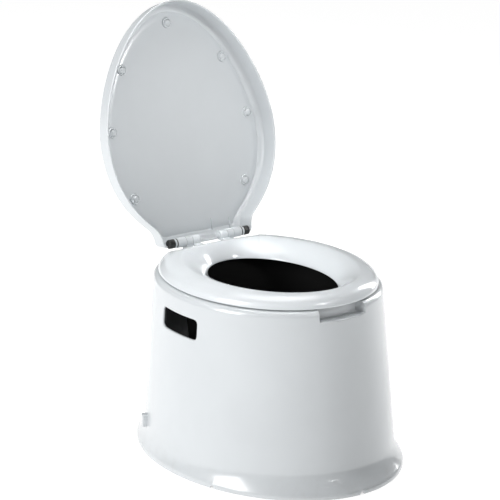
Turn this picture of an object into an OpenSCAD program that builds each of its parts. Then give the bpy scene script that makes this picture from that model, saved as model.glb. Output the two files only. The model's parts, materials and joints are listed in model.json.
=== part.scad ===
// Portable camping toilet: a tapered shell with a hinged seat and lid stands over
// a loose bucket with a bail handle. Millimetres, +Z up, front towards -Y.
// The origin is the centre of the shell's footprint on the floor.
// The lid is drawn open, as far back as it goes, and the seat is drawn down.

/* [Shell] */
// Width of the base rim
base_width = 384; // [350:2:460]
// Length of the base rim
base_length = 503; // [460:1:610]
// Height of the shell's deck
shell_height = 286; // [250:2:350]
// How much narrower each side is at the shoulder than at the base rim
side_taper = 24; // [14:1:30]
// How much shorter each end is at the shoulder than at the base rim
end_taper = 47; // [30:1:54]
// How far the top is set back from the base
top_setback = 3; // [0:1:10]
// Thickness of the shell's wall and deck
shell_wall = 3.5; // [2.5:0.5:5]
// Radius of the rounded shoulder
shoulder_radius = 11; // [8:1:16]
// How far the base rim stands out from each side wall
rim_flare = 8; // [5:1:12]
// How far the base rim stands out from each end wall
end_flare = 22; // [8:1:26]
// Height of the flare above the floor
rim_height = 39; // [30:1:48]
// Height of the rim's straight edge
rim_edge = 6; // [4:1:10]
// Number of air notches in the base rim
notch_count = 6; // [3:1:8]
// Radius of an air notch
notch_radius = 4.2; // [3:0.2:6]

/* [Grips in the shell] */
// Length of a side hand hole
hand_hole_length = 93; // [80:1:110]
// Height of a side hand hole
hand_hole_height = 32; // [26:1:40]
// Height of a hand hole's centre below the deck
hand_hole_drop = 48; // [44:1:70]
// Corner radius of a hand hole
hand_hole_corner = 7; // [4:1:12]
// Width of the finger recess at the front
recess_width = 84; // [60:2:110]
// Height of the finger recess
recess_height = 17; // [12:1:22]
// Depth of the finger recess
recess_depth = 18; // [12:1:20]
// Width of a rear lug
lug_width = 16; // [12:1:24]
// Height of a rear lug
lug_height = 21; // [16:1:30]
// Height of a lug's lower end above the floor
lug_rise = 34; // [34:1:60]
// How far a lug stands out
lug_reach = 8; // [5:1:12]

/* [Seat] */
// Gap between the deck and the seat
seat_gap = 1.5; // [1.5:0.5:4]
// How far each side of the seat stands in from the shoulder
seat_side_inset = 7.5; // [5:0.5:12]
// How far the front of the seat stands in from the shoulder
seat_front_inset = 6; // [4:0.5:12]
// How far the seat's full oval would stand in at the rear
seat_rear_inset = 7; // [4:0.5:16]
// Thickness of the seat from its lower edge to its crown
seat_rise = 20; // [16:0.5:24]
// Width of the seat opening
opening_width = 174; // [160:2:200]
// Length of the seat opening
opening_length = 258; // [240:2:280]
// Width of the ring between the opening and the seat's straight rear
ring_at_rear = 42; // [34:1:50]
// Wall of the seat's hollow moulding
seat_wall = 4; // [3:0.5:5]
// How far the opening's lip hangs below the seat's lower edge
seat_lip = 6.5; // [3:0.5:7]
// Radius of a seat buffer
buffer_radius = 6; // [4:0.5:8]

/* [Lid] */
// How far the closed lid reaches past the front of the seat
lid_overhang = 23.5; // [12:0.5:26]
// How far each side of the closed lid stands in from the seat's widest edge
lid_inset = 0.5; // [0:0.5:8]
// Gap between a hinge end cap and the side wall of the lid's neck
neck_clearance = 4.2; // [1:0.2:8]
// Distance of the lid's widest place from the hinge
lid_widest = 172; // [150:2:200]
// Length of the lid's round rear half, behind its widest place
lid_rear_half = 170; // [150:2:200]
// Depth of the lid from its rim to the outer face
lid_depth = 36; // [34:1:44]
// Wall of the lid
lid_wall = 3.2; // [2.6:0.2:4]
// How far past upright the open lid leans
lid_lean = 14.5; // [8:0.1:16]
// Radius of a round boss inside the lid
boss_radius = 9; // [6:0.5:12]
// Height of a round boss inside the lid
boss_height = 5; // [3:0.5:8]

/* [Hinge] */
// Height of the hinge axis above the seat's crown
hinge_over_seat = 0.5; // [0.5:0.5:5]
// Distance of the hinge axis from the rear of the shoulder
hinge_inset = 36.5; // [34:0.5:44]
// Gap between the hinge knuckles and the seat's straight rear edge
seat_clearance = 3; // [2:0.5:5]
// Radius of the hinge knuckles
knuckle_radius = 8; // [7:0.5:9]
// Radius of the hinge pins
pin_radius = 4; // [3:0.25:4.5]
// Running clearance around a hinge pin
pin_clearance = 0.05; // [0.02:0.01:0.1]
// Side gap between neighbouring knuckles
knuckle_gap = 0.3; // [0.2:0.1:0.6]
// Distance of the first knuckle from the middle
knuckle_start = 20; // [16:1:22]
// Width of the seat's knuckle
seat_knuckle = 13.7; // [10:0.1:16]
// Width of the bracket's eye
bracket_eye = 12; // [9:0.5:13]
// Width of the lid's knuckle
lid_knuckle = 15.7; // [12:0.1:17]
// Thickness of a hinge washer
washer_thickness = 1.5; // [1:0.1:2]
// Thickness of a hinge pin's head
head_thickness = 3.1; // [2.5:0.1:4]
// Length of a hinge end cap
cap_length = 11; // [7:0.5:12]

/* [Bucket] */
// Inner radius of the bucket's mouth
mouth_radius = 138; // [128:1:140]
// Outer radius of the bucket's bottom
bottom_radius = 112; // [100:1:120]
// Wall of the bucket
bucket_wall = 2.5; // [2:0.5:4]
// Gap between the bucket's rim and the underside of the deck
bucket_gap = 4.5; // [3:0.5:8]
// How far the bucket's rim stands out past the wall
bucket_rim = 4; // [3:0.5:5]
// Radius of the bail's wire
wire_radius = 2.5; // [2:0.25:3]
// Radius of the bail's grip
grip_radius = 6.5; // [5:0.5:9]
// Gap between the grip and the bucket's rim as the bail swings
grip_clearance = 0.6; // [0.4:0.2:4]
// Angle that the grip covers on the bail
grip_angle = 38; // [26:2:50]
// Depth of the bail's pivot below the bucket's rim
pivot_drop = 16; // [14:1:24]

/* [Hidden] */
$fn = 96;
ring_steps = 72;
arc_steps = 6;
cut = 1;

base_a = base_width / 2;
base_b = base_length / 2;
waist_a = base_a - rim_flare;
waist_b = base_b - end_flare;
shoulder_a = base_a - side_taper;
shoulder_b = base_b - end_taper;
seat_a = shoulder_a - seat_side_inset;
seat_b = shoulder_b - (seat_front_inset + seat_rear_inset) / 2;
seat_middle = top_setback + (seat_front_inset - seat_rear_inset) / 2;

// Heights of the seat, the hinge axis and the bucket
seat_base = shell_height + seat_gap;
hinge_height = seat_base + seat_rise + hinge_over_seat;
hinge_back = top_setback + shoulder_b - hinge_inset;
bucket_height = shell_height - shell_wall - bucket_gap;
pivot_height = bucket_height - pivot_drop;

// The opening sits over the bucket, a set distance from the seat's straight rear
seat_rear = hinge_back - knuckle_radius - seat_clearance;
seat_front = seat_middle - seat_b;
opening_a = opening_width / 2;
opening_b = opening_length / 2;
opening_y = seat_rear - ring_at_rear - opening_b;
rim_radius = mouth_radius + bucket_rim;
bail_radius = norm([rim_radius, pivot_drop]) + grip_radius + grip_clearance;

// The deck's hole clears both the bucket's rim and the lip of the seat's opening
deck_clearance = 12;
deck_hole = max(rim_radius, opening_b) + deck_clearance;

// Places along the hinge axis, from the middle outwards
eye_start = knuckle_start + seat_knuckle + knuckle_gap;
lid_start = eye_start + bracket_eye + knuckle_gap;
end_gap = 0.2;
washer_start = lid_start + lid_knuckle + end_gap;
head_start = washer_start + washer_thickness + end_gap;
cap_start = head_start + head_thickness + end_gap;
cap_end = cap_start + cap_length;
pin_proud = 2;
pin_start = knuckle_start - pin_proud;
stub_length = 6;
stub_gap = 1.5;
head_step = 0.5;
head_radius = knuckle_radius - head_step;

// The lid's neck holds the whole hinge, and its rear wall is relieved round the fixed pieces
lid_length = hinge_back - seat_front + lid_overhang;
lid_width = 2 * (seat_a - lid_inset);
neck_half = cap_end + neck_clearance + lid_wall;
neck_rear = 6;
relief_gap = 2.5;
relief_margin = 0.8;
lid_relief = knuckle_radius + relief_gap;

// Bracket plate and its screws, measured from the hinge axis
plate_thickness = 3.5;
plate_margin = 8;
plate_inner = eye_start - plate_margin;
plate_outer = lid_start + lid_knuckle;
plate_front = -9;
plate_rear = 16.5;
stem_half = 7;
screw_back = 11.5;
screw_spread = 8;
screw_radius = 2;
screw_clearance = 0.05;
screw_head = 3.6;
screw_dome = 1.6;
screw_tip = 0.5;

white = "#eef1f3";
black = "#17181a";
steel = "#9a9da1";

// A ring of points on an ellipse
function ellipse_ring(a, b, shift, z) =
    [for (i = [0:ring_steps - 1]) let (t = 360 * i / ring_steps) [a * cos(t), shift + b * sin(t), z]];

// A closed solid through a stack of rings, lowest first
module loft(rings) {
    n = len(rings[0]);
    m = len(rings);
    points = [for (ring = rings) for (p = ring) p];
    sides = [for (j = [0:m - 2]) for (i = [0:n - 1]) for (f =
        [[j * n + i, (j + 1) * n + i, (j + 1) * n + (i + 1) % n],
         [j * n + i, (j + 1) * n + (i + 1) % n, j * n + (i + 1) % n]]) f];
    bottom = [[for (i = [0:n - 1]) i]];
    top = [[for (i = [n - 1:-1:0]) (m - 1) * n + i]];
    polyhedron(points, concat(bottom, sides, top));
}

// A closed ring of sections, where each section is a closed loop of points
module loop_loft(sections) {
    n = len(sections);
    m = len(sections[0]);
    points = [for (section = sections) for (p = section) p];
    faces = [for (i = [0:n - 1]) for (j = [0:m - 1]) let (k = (i + 1) % n, l = (j + 1) % m) for (f =
        [[i * m + j, i * m + l, k * m + l], [i * m + j, k * m + l, k * m + j]]) f];
    polyhedron(points, faces);
}

// Half sizes of the shell's wall at a height: straight from waist to shoulder, and flared at the rim
function flare(z) = z <= rim_edge ? 1
    : z >= rim_height ? 0 : 1 - sin(90 * (z - rim_edge) / (rim_height - rim_edge));
function climb(z) = max(0, z - rim_height) / (shell_height - rim_height);
function wall_a(z) = waist_a + (shoulder_a - waist_a) * climb(z) + rim_flare * flare(z);
function wall_b(z) = waist_b + (shoulder_b - waist_b) * climb(z) + end_flare * flare(z);
function setback(z) = top_setback * z / shell_height;
function wall_ring(z, inset, height) = ellipse_ring(wall_a(z) - inset, wall_b(z) - inset, setback(z), height);

// The shell's wall, moved inwards by an offset and ending below the deck by the same amount
module shell_solid(offset_in, floor_z) {
    start = shell_height - shoulder_radius;
    arc = shoulder_radius - offset_in;
    loft(concat(
        [wall_ring(0, offset_in, floor_z)],
        [for (k = [0:arc_steps]) let (z = rim_edge + (rim_height - rim_edge) * k / arc_steps)
            wall_ring(z, offset_in, z)],
        [for (k = [0:arc_steps]) let (t = 90 * k / arc_steps)
            wall_ring(start, offset_in + arc * (1 - cos(t)), start + arc * sin(t))]));
}

// A box with rounded corners that passes through the wall along X
module hand_hole() {
    y = hand_hole_length / 2 - hand_hole_corner;
    z = hand_hole_height / 2 - hand_hole_corner;
    translate([0, 0, shell_height - hand_hole_drop]) rotate([0, 90, 0])
        hull() for (u = [-z, z]) for (v = [-y, y])
            translate([u, v, -base_width]) cylinder(r = hand_hole_corner, h = 2 * base_width, $fn = 32);
}

front_y = setback(shell_height) - shoulder_b;

module recess_block(side, depth, drop) {
    translate([-recess_width / 2 - side, front_y - recess_depth, shell_height - recess_height - drop])
        cube([recess_width + 2 * side, recess_depth + depth, recess_height + drop + (drop > 0 ? 0 : cut)]);
}

module lug(angle) {
    z = lug_rise + lug_height / 2;
    x = wall_a(z) * cos(angle);
    y = setback(z) + wall_b(z) * sin(angle);
    r = lug_width / 2;
    translate([x, y, 0]) rotate([0, 0, atan2(y - setback(z), x)]) rotate([0, 90, 0]) {
        translate([-lug_rise - r, 0, -shell_wall]) cylinder(r = r, h = shell_wall + lug_reach);
        translate([-lug_rise - lug_height, -r, -shell_wall])
            cube([lug_height - r, lug_width, shell_wall + lug_reach]);
    }
}

lug_angle = 28;

module screw_places() {
    for (side = [-1, 1]) for (x = [eye_start, lid_start + screw_spread])
        translate([side * x, hinge_back + screw_back, 0]) children();
}

module outer_shell() {
    color(white) difference() {
        union() {
            difference() {
                shell_solid(0, 0);
                shell_solid(shell_wall, -cut);
            }
            intersection() {
                shell_solid(shell_wall / 2, 0);
                recess_block(shell_wall, recess_depth + shell_wall, shell_wall);
            }
            for (angle = [lug_angle, 180 - lug_angle]) lug(angle);
        }
        recess_block(0, recess_depth, 0);
        hand_hole();
        translate([0, opening_y, shell_height - 2 * shell_wall])
            cylinder(r = deck_hole, h = 3 * shell_wall);
        for (i = [0:notch_count - 1]) rotate([0, 0, 360 * i / notch_count - 90]) rotate([0, 90, 0])
            cylinder(r = notch_radius, h = base_length);
        screw_places() translate([0, 0, shell_height - 2 * shell_wall])
            cylinder(r = screw_radius + screw_clearance, h = 3 * shell_wall);
    }
}

// The seat's outer edge: an ellipse whose rear is cut straight between two horns beside the hinge
horn_gap = 3.5;
horn_start = neck_half + horn_gap;
horn_width = 12;
horn_length = 17;
function rear_limit(x) = seat_rear + horn_length * min(1, max(0, (abs(x) - horn_start) / horn_width));
function seat_edge(t) = let (x = seat_a * cos(t), y = seat_middle + seat_b * sin(t))
    [x, min(y, rear_limit(x))];
function opening_edge(t) = [opening_a * cos(t), opening_y + opening_b * sin(t)];

// The seat's section: a crown at a share of the ring's width, rounded to the outer edge and
// sloping down into the opening. u runs from 0 at the opening to 1 at the outer edge.
crown_at = 0.54;
outer_power = 2;
inner_power = 1.35;
function crown_side(u1, rise) =
    [for (k = [0:arc_steps]) let (t = 90 * k / arc_steps)
        [crown_at + (u1 - crown_at) * pow(cos(t), 2 / outer_power), rise * pow(sin(t), 2 / outer_power)]];
function slope_side(u0, rise) =
    [for (k = [arc_steps - 1:-1:0]) let (t = 90 * k / arc_steps)
        [crown_at - (crown_at - u0) * pow(cos(t), 2 / inner_power),
         (rise + seat_lip) * pow(sin(t), 2 / inner_power) - seat_lip]];
function seat_loop(w) = let (
    over = concat(crown_side(1, seat_rise), slope_side(0, seat_rise)),
    under = concat(crown_side(1 - w, seat_rise - seat_wall), slope_side(w, seat_rise - seat_wall)))
    concat(over, [for (k = [len(under) - 1:-1:0]) under[k]]);
function seat_section(t) = let (o = seat_edge(t), i = opening_edge(t), w = seat_wall / norm(o - i))
    [for (p = seat_loop(w)) concat(i + p[0] * (o - i), [seat_base + p[1]])];

buffer_angles = [-125, -55, 20, 160];
module buffer_places() {
    for (t = buffer_angles) let (p = (seat_edge(t) + opening_edge(t)) / 2)
        translate([p[0], p[1], seat_base]) children();
}

module along_hinge(start, length, radius) {
    translate([start, hinge_back, hinge_height]) rotate([0, 90, 0]) cylinder(r = radius, h = length);
}

module both_sides() {
    children();
    mirror([1, 0, 0]) children();
}

arm_length = knuckle_radius + seat_clearance + seat_wall + cut;
arm_top = -4;
stem_radius = 2.5;
stem_wall = 3.5;

module seat_ring() {
    color(white) difference() {
        union() {
            loop_loft([for (i = [0:ring_steps - 1]) seat_section(360 * i / ring_steps)]);
            both_sides() {
                along_hinge(knuckle_start, seat_knuckle, knuckle_radius);
                translate([knuckle_start, hinge_back - arm_length, hinge_height - knuckle_radius])
                    cube([seat_knuckle, arm_length, knuckle_radius + arm_top]);
            }
            buffer_places() translate([0, 0, cut]) cylinder(r = stem_radius + stem_wall, h = seat_rise - seat_wall);
        }
        both_sides() along_hinge(knuckle_start - cut, seat_knuckle + 2 * cut, pin_radius + pin_clearance);
        buffer_places() cylinder(r = stem_radius + pin_clearance, h = seat_rise / 2);
    }
}

module seat_buffers() {
    foot_gap = 0.3;
    color(black) buffer_places() {
        translate([0, 0, foot_gap - seat_gap]) cylinder(r = buffer_radius, h = seat_gap + cut - foot_gap);
        cylinder(r = stem_radius, h = seat_rise / 2 - cut);
    }
}

// The lid's outline in its closed place, from the hinge axis. Behind its widest place it is a round
// half egg, which runs into the neck by a smooth maximum; before it, it narrows to the front.
rear_power = 2.15;
front_power = 1.66;
front_root = 0.53;
neck_blend = 18;
outline_steps = 36;
function egg(s) = lid_width / 2 * pow(1 - pow(min(1, max(0, (lid_widest - s) / lid_rear_half)), rear_power),
    1 / rear_power);
function lid_rear(s) = let (e = egg(s)) (e + neck_half + norm([e - neck_half, neck_blend])) / 2;
function lid_front(s) = pow(max(0, 1 - pow(max(0, (s - lid_widest) / (lid_length - lid_widest)), front_power)),
    front_root);
function lid_half(s, inset) = (lid_rear(min(s, lid_widest)) - inset) * lid_front(s);
function lid_side(inset) = concat([[neck_half - inset, neck_rear - inset]],
    [for (k = [0:outline_steps]) let (t = sin(90 * k / outline_steps))
        [lid_half(t * lid_length, inset), -(lid_length - inset) * t]]);
function lid_ring(inset, z) = let (side = lid_side(inset), n = len(side)) concat(
    [for (k = [0:n - 1]) [-side[k][0], side[k][1], z]],
    [for (k = [n - 2:-1:0]) [side[k][0], side[k][1], z]]);

edge_radius = 10;
draft = 2;
boss_draft = 2;
module lid_solid(offset_in, low_z) {
    arc = edge_radius - offset_in;
    start = lid_depth - edge_radius;
    loft(concat([lid_ring(offset_in, low_z)],
        [for (k = [0:arc_steps]) let (t = 90 * k / arc_steps)
            lid_ring(offset_in + draft + arc * (1 - cos(t)), start + arc * sin(t))]));
}

// Each boss as its share of the lid's half width and of its length
boss_places = [[0, 0.91], [0.76, 0.74], [0.82, 0.49], [0.77, 0.205]];
module lid_bosses() {
    for (place = boss_places) for (side = place[0] == 0 ? [1] : [-1, 1])
        translate([side * place[0] * lid_half(place[1] * lid_length, 0), -place[1] * lid_length,
            lid_depth - lid_wall - boss_height])
            cylinder(r1 = boss_radius - boss_draft, r2 = boss_radius, h = boss_height + cut, $fn = 32);
}

// A length of the axis, cleared round the pieces that the lid turns past
module relief(from, to) {
    rotate([0, 90, 0]) translate([0, 0, from]) cylinder(r = lid_relief, h = to - from);
}

module lid_closed() {
    web_front = -3;
    web_rear = neck_rear - lid_wall / 2;
    web_low = knuckle_radius / 2;
    difference() {
        union() {
            difference() {
                lid_solid(0, 0);
                lid_solid(lid_wall, -cut);
                both_sides() {
                    relief(pin_start, lid_start);
                    relief(washer_start - end_gap, cap_end + relief_margin);
                }
            }
            lid_bosses();
            both_sides() {
                rotate([0, 90, 0]) translate([0, 0, lid_start]) cylinder(r = knuckle_radius, h = lid_knuckle);
                translate([lid_start, web_front, web_low])
                    cube([lid_knuckle, web_rear - web_front, lid_depth - edge_radius - web_low]);
            }
        }
        both_sides() rotate([0, 90, 0]) translate([0, 0, lid_start - cut])
            cylinder(r = pin_radius + pin_clearance, h = lid_knuckle + 2 * cut);
    }
}

module lid_shell() {
    color(white) translate([0, hinge_back, hinge_height]) rotate([-90 - lid_lean, 0, 0]) lid_closed();
}

module hinge_bracket() {
    translate([0, hinge_back, 0]) difference() {
        union() {
            translate([plate_inner, plate_front, shell_height])
                cube([plate_outer - plate_inner, plate_rear - plate_front, plate_thickness]);
            translate([eye_start, -stem_half, shell_height])
                cube([bracket_eye, 2 * stem_half, hinge_height - shell_height]);
            translate([0, -hinge_back, 0]) along_hinge(eye_start, bracket_eye, knuckle_radius);
        }
        translate([0, -hinge_back, 0]) {
            along_hinge(eye_start - cut, bracket_eye + 2 * cut, pin_radius + pin_clearance);
            screw_places() translate([0, 0, shell_height - cut])
                cylinder(r = screw_radius + screw_clearance, h = plate_thickness + 2 * cut);
        }
    }
}

module hinge_bracket_right() {
    color(white) hinge_bracket();
}

module hinge_bracket_left() {
    color(white) mirror([1, 0, 0]) hinge_bracket();
}

module bracket_screws() {
    top = shell_height + plate_thickness;
    color(steel) screw_places() {
        translate([0, 0, shell_height - shell_wall]) 
            cylinder(r = screw_radius, h = plate_thickness + shell_wall + screw_tip);
        translate([0, 0, top]) cylinder(r1 = screw_head, r2 = screw_head - 1, h = screw_dome);
    }
}

module hinge_pin() {
    along_hinge(pin_start, cap_start - pin_start + stub_length, pin_radius);
    along_hinge(head_start, head_thickness, head_radius);
}

module hinge_washer() {
    difference() {
        along_hinge(washer_start, washer_thickness, head_radius);
        along_hinge(washer_start - cut, washer_thickness + 2 * cut, pin_radius + pin_clearance);
    }
}

module hinge_cap() {
    difference() {
        along_hinge(cap_start, cap_length, head_radius);
        along_hinge(cap_start - cut, cut + stub_length + stub_gap, pin_radius + pin_clearance);
    }
}

module hinge_pin_right() {
    color(white) hinge_pin();
}

module hinge_pin_left() {
    color(white) mirror([1, 0, 0]) hinge_pin();
}

module hinge_washer_right() {
    color(black) hinge_washer();
}

module hinge_washer_left() {
    color(black) mirror([1, 0, 0]) hinge_washer();
}

module hinge_cap_right() {
    color(black) hinge_cap();
}

module hinge_cap_left() {
    color(black) mirror([1, 0, 0]) hinge_cap();
}

// The bucket's section, from the middle of its floor out and up to the rolled rim and back
ear_proud = 1.5;
ear_reach = rim_radius + ear_proud;
ear_radius = 8;
rim_drop = 7;
hook_depth = 4.5;
hook_gap = 0.5;
hook_step = 0.2;
hook_radius = wire_radius - hook_step;
module bucket() {
    outer_top = mouth_radius + bucket_wall;
    color(black) translate([0, opening_y, 0]) difference() {
        union() {
            rotate_extrude() polygon([
                [0, 0], [bottom_radius, 0], [outer_top, bucket_height - rim_drop],
                [rim_radius, bucket_height - rim_drop], [rim_radius, bucket_height],
                [mouth_radius, bucket_height], [bottom_radius - bucket_wall, bucket_wall], [0, bucket_wall]]);
            both_sides() translate([mouth_radius, 0, pivot_height]) rotate([0, 90, 0])
                cylinder(r = ear_radius, h = ear_reach - mouth_radius);
        }
        both_sides() translate([ear_reach - hook_depth, 0, pivot_height]) rotate([0, 90, 0])
            cylinder(r = hook_radius + pin_clearance, h = hook_depth + cut);
    }
}

// The bail: a half ring of wire at the front, hooked inwards at both ends, with a grip over its middle
module bail_handle() {
    color(steel) translate([0, opening_y, pivot_height]) {
        rotate([0, 0, 180]) rotate_extrude(angle = 180) translate([bail_radius, 0]) circle(r = wire_radius, $fn = 32);
        both_sides() translate([ear_reach - hook_depth + hook_gap, 0, 0]) rotate([0, 90, 0])
            cylinder(r = hook_radius, h = bail_radius - ear_reach + hook_depth - hook_gap);
    }
}

module bail_grip() {
    color(black) translate([0, opening_y, pivot_height]) rotate([0, 0, -90 - grip_angle / 2])
        rotate_extrude(angle = grip_angle) translate([bail_radius, 0]) difference() {
            circle(r = grip_radius, $fn = 48);
            circle(r = wire_radius + pin_clearance, $fn = 32);
        }
}

outer_shell();
seat_ring();
seat_buffers();
lid_shell();
bucket();
bail_handle();
bail_grip();
hinge_bracket_left();
hinge_bracket_right();
bracket_screws();
hinge_pin_left();
hinge_pin_right();
hinge_washer_left();
hinge_washer_right();
hinge_cap_left();
hinge_cap_right();
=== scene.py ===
import json
import math
import bpy
import numpy as np
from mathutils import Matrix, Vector


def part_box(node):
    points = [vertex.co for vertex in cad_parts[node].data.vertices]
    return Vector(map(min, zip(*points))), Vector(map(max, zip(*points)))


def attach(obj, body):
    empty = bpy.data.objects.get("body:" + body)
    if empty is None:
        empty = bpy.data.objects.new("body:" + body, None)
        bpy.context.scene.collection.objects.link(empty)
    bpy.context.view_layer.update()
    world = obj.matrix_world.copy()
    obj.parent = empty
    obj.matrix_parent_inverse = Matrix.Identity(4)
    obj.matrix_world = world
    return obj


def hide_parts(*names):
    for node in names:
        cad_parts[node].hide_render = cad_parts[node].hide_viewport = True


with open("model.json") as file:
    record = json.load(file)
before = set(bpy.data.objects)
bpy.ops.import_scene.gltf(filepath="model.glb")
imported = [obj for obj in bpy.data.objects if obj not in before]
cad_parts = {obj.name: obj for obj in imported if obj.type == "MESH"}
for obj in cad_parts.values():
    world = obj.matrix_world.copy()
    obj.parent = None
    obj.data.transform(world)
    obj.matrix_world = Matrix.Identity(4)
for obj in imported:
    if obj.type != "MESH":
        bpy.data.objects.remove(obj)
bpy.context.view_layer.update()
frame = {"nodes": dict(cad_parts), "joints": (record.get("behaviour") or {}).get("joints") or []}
print("frame loaded:", len(frame["nodes"]), "nodes")

scene = bpy.context.scene
mm = 0.001
fullTurn = 2 * math.pi


# ---- numbers and curves

def smoothStep(x):
    # 3x^2 - 2x^3 between 0 and 1
    c = np.clip(x, 0, 1)
    return c * c * (3 - 2 * c)


def quarterTurn(steps):
    return np.linspace(0, math.pi / 2, steps)


def softMin(a, b, k):
    # the lesser of a and b, blended over a distance k
    return (a + b - np.sqrt((a - b) ** 2 + k * k)) / 2


def alongPath(points, shares):
    # points of a polyline at shares of its length
    points = np.asarray(points, float)
    steps = np.r_[0, np.cumsum(np.linalg.norm(np.diff(points, axis=0), axis=1))]
    spots = shares * steps[-1]
    return np.stack([np.interp(spots, steps, column) for column in points.T], axis=1)


def roundedPath(corners, radii, arcSteps=8):
    # a polyline whose corners are quadratic curves that start and end a radius away from the corner
    corners = [np.asarray(c, float) for c in corners]
    out = [corners[0]]
    for before, corner, after, radius in zip(corners, corners[1:], corners[2:], radii):
        start = corner + (before - corner) / np.linalg.norm(before - corner) * radius
        end = corner + (after - corner) / np.linalg.norm(after - corner) * radius
        t = np.linspace(0, 1, arcSteps + 1)[:, None]
        out += list((1 - t) ** 2 * start + 2 * t * (1 - t) * corner + t * t * end)
    return np.array(out + [corners[-1]])


def jointOf(name):
    return next(j for j in frame["joints"] if j["name"] == name)


# ---- meshes from grids

def gridQuads(rows, columns, wrapRows=False, wrapColumns=False):
    # faces between neighbours of a grid whose vertex number is row * columns + column
    r = np.arange(rows if wrapRows else rows - 1)
    c = np.arange(columns if wrapColumns else columns - 1)
    r, c = np.meshgrid(r, c, indexing="ij")
    up, side = (r + 1) % rows, (c + 1) % columns
    quads = np.stack([r * columns + c, r * columns + side, up * columns + side, up * columns + c], axis=-1)
    return quads.reshape(-1, 4)


def closePoles(quads, rows, columns):
    # every corner in the first row and in the last row moves to that row's first vertex
    last = (rows - 1) * columns
    return np.where(quads < columns, 0, np.where(quads >= last, last, quads))


def outward(points, quads):
    # the faces turned round if the signed volume that they enclose is negative
    a, b, c, d = (points[quads[:, k]] for k in range(4))
    volume = np.einsum("ij,ij->i", a, np.cross(b, c) + np.cross(c, d)).sum()
    return quads[:, ::-1] if volume < 0 else quads


def makePiece(name, parts, material, body, replaced=(), sharp=45):
    # one object from a list of (points, quads), each turned outwards by itself
    points, quads, count = [], [], 0
    for p, q in parts:
        p = np.asarray(p, float).reshape(-1, 3)
        points.append(p)
        quads.append(outward(p, q) + count)
        count += len(p)
    points, quads = np.concatenate(points), np.concatenate(quads)
    used, inverse = np.unique(quads, return_inverse=True)
    points, quads = points[used], inverse.reshape(quads.shape)
    mesh = bpy.data.meshes.new(name)
    faces = [[v for k, v in enumerate(f) if v != f[k - 1]] for f in quads.tolist()]
    mesh.from_pydata(points.tolist(), [], faces)
    mesh.polygons.foreach_set("use_smooth", np.ones(len(mesh.polygons), bool))
    mesh.validate()
    mesh.set_sharp_from_angle(angle=math.radians(sharp))
    piece = bpy.data.objects.new(name, mesh)
    scene.collection.objects.link(piece)
    piece.data.materials.append(material)
    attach(piece, body)
    if replaced:
        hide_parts(*replaced)
    return piece


def revolve(profile, centre, axis, steps=96):
    # a profile of (distance along the axis, radius), turned about the axis through the centre
    profile = np.asarray(profile, float)
    axis = np.asarray(axis, float) / np.linalg.norm(axis)
    side = np.cross(axis, [0.0, 0.0, 1.0] if abs(axis[2]) < 0.9 else [1.0, 0.0, 0.0])
    side /= np.linalg.norm(side)
    other = np.cross(axis, side)
    turn = np.linspace(0, fullTurn, steps, endpoint=False)
    ring = np.cos(turn)[:, None] * side + np.sin(turn)[:, None] * other
    points = (np.asarray(centre) + profile[:, None, :1] * axis + profile[:, None, 1:] * ring[None])
    quads = gridQuads(len(profile), steps, wrapColumns=True)
    flat = points.reshape(-1, 3)
    for row in (0, len(profile) - 1):
        if profile[row, 1] < 1e-9:
            quads = np.where((quads >= row * steps) & (quads < (row + 1) * steps), row * steps, quads)
    return flat, quads


def sweep(path, radius, sides):
    # a round section carried along a path; its frame turns with the path's direction and a fixed side
    path = np.asarray(path, float)
    ahead = np.gradient(path, axis=0)
    ahead /= np.linalg.norm(ahead, axis=1)[:, None]
    up = np.array([0.0, 0.0, 1.0]) - ahead * ahead[:, 2:]
    flip = np.linalg.norm(up, axis=1) < 0.1
    up[flip] = np.array([1.0, 0.0, 0.0])
    up /= np.linalg.norm(up, axis=1)[:, None]
    side = np.cross(ahead, up)
    turn = np.linspace(0, fullTurn, sides, endpoint=False)
    radius = np.broadcast_to(np.asarray(radius, float), (len(path),))
    ring = np.cos(turn)[None, :, None] * side[:, None] + np.sin(turn)[None, :, None] * up[:, None]
    points = path[:, None] + radius[:, None, None] * ring
    tips = [np.repeat(end[None, None], sides, 1) for end in (path[0], path[-1])]
    points = np.concatenate([tips[0], points, tips[1]])
    quads = gridQuads(len(points), sides, wrapColumns=True)
    return points.reshape(-1, 3), closePoles(quads, len(points), sides)


# ---- shader maths

class Value:
    # wraps a socket, so that an expression adds Math nodes
    def __init__(self, net, socket):
        self.net, self.socket = net, socket

    def join(self, operation, *others, clamp=False):
        values = {k: (v.socket if isinstance(v, Value) else v) for k, v in enumerate((self, *others))}
        return self.net.add("Math", {"operation": operation, "use_clamp": clamp}, values)

    def swapped(self, operation, other):
        return self.net.add("Math", {"operation": operation}, {0: other, 1: self.socket})

    def __add__(self, other):
        return self.join("ADD", other)

    def __radd__(self, other):
        return self.swapped("ADD", other)

    def __sub__(self, other):
        return self.join("SUBTRACT", other)

    def __rsub__(self, other):
        return self.swapped("SUBTRACT", other)

    def __mul__(self, other):
        return self.join("MULTIPLY", other)

    def __rmul__(self, other):
        return self.swapped("MULTIPLY", other)

    def __truediv__(self, other):
        return self.join("DIVIDE", other)


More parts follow.
